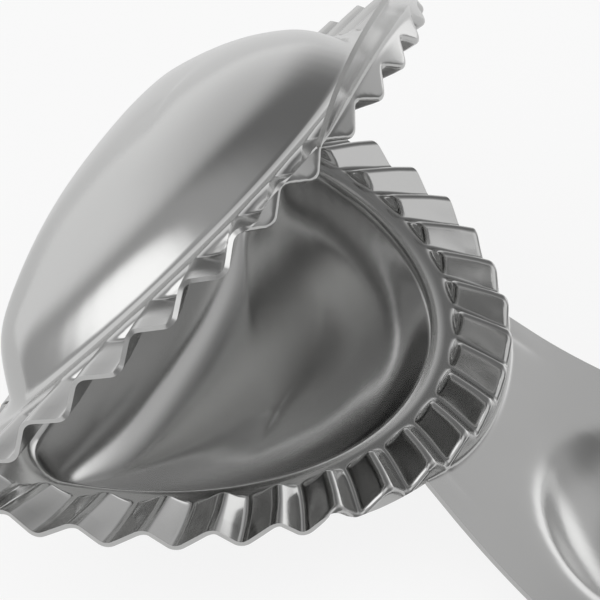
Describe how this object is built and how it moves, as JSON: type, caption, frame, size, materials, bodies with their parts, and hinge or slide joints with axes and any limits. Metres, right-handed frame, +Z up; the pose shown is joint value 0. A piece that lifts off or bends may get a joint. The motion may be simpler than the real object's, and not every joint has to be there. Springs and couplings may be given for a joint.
{
  "type": "hinged dough press",
  "caption": "Half-moon press for filled dough: two stamped sheet halves with bowls, a slanted wavy sealing rim and dished thumb handles, joined on a rolled-knuckle hinge pin.",
  "frame": {"origin": "middle of the flat under the lower bowl, on the table", "axes": "+X along the hinge, +Y from the lower handle towards the hinge, +Z up; the upper half stands open"},
  "size_m": [0.11, 0.1096, 0.1082],
  "materials": {
    "shell_steel": "satin, as stamped",
    "pin_steel": "drawn wire, peened ends"
  },
  "bodies": {
    "lower_half": {"lower_shell": "shell_steel", "hinge_pin": "pin_steel"},
    "upper_half": {"upper_shell": "shell_steel"}
  },
  "joints": [
    {"name": "lid_hinge", "type": "hinge", "parent": "lower_half", "child": "upper_half", "pos_m": [0, 0.012, 0.0168], "axis": [-1, 0, 0], "range_deg": [-53.5, 126.5]}
  ]
}
